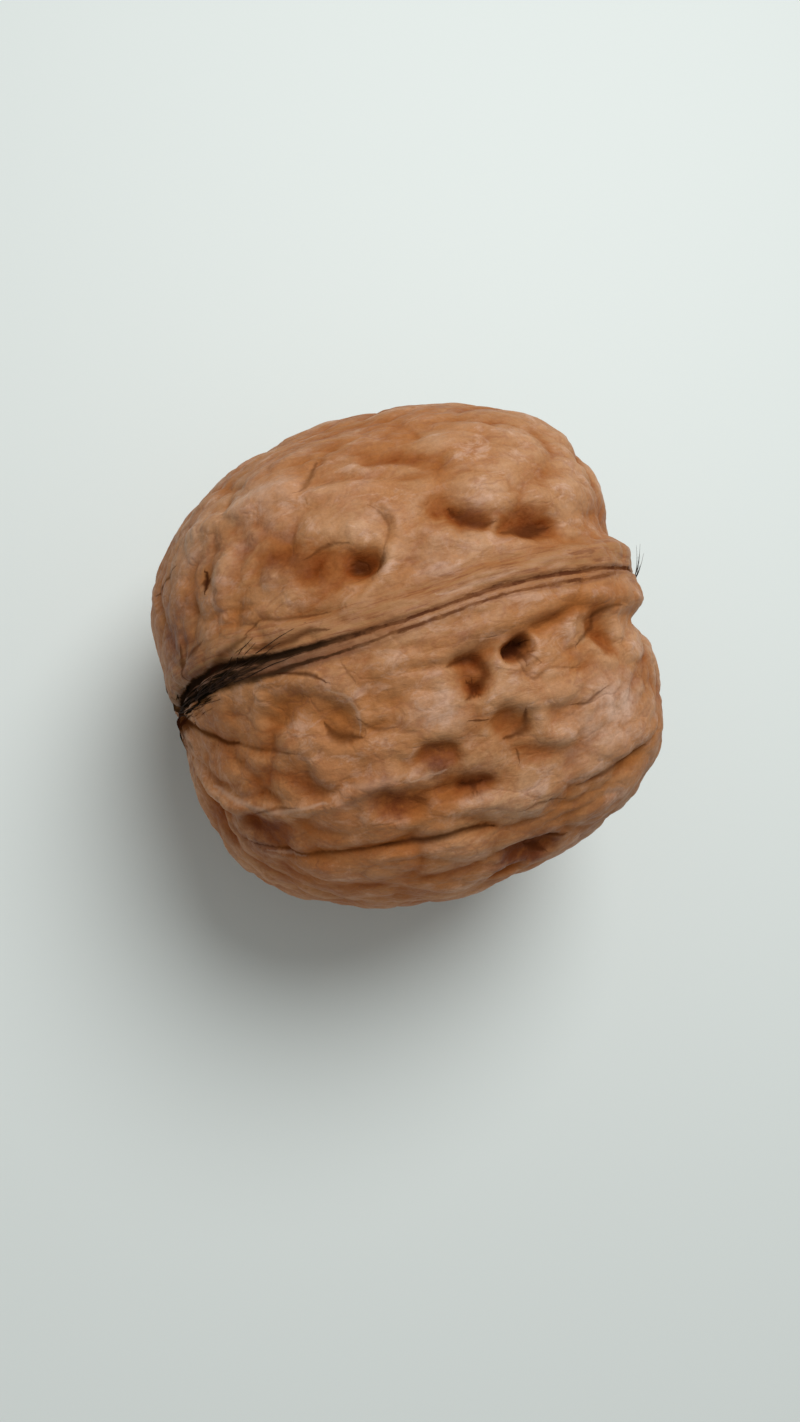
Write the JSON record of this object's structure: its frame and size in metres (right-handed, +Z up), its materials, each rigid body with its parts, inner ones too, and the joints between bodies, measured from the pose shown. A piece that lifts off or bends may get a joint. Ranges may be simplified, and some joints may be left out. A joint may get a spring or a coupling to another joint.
{
  "type": "whole walnut in its shell",
  "caption": "Whole dry walnut in its wrinkled shell, with a raised suture band, pits and furrows, lying on its side.",
  "frame": {"origin": "centre of the nut's outline from above, on the surface that it rests on", "axes": "+X from the stem end to the tip, +Y towards the left cheek, +Z up, with the upper suture leaning 7 degrees towards -Y"},
  "size_m": [0.0392, 0.0386, 0.0363],
  "materials": {
    "walnut_shell": "dry woody shell, matt with a faint sheen on its crests"
  },
  "bodies": {
    "root": {"walnut": "walnut_shell"}
  },
  "joints": []
}
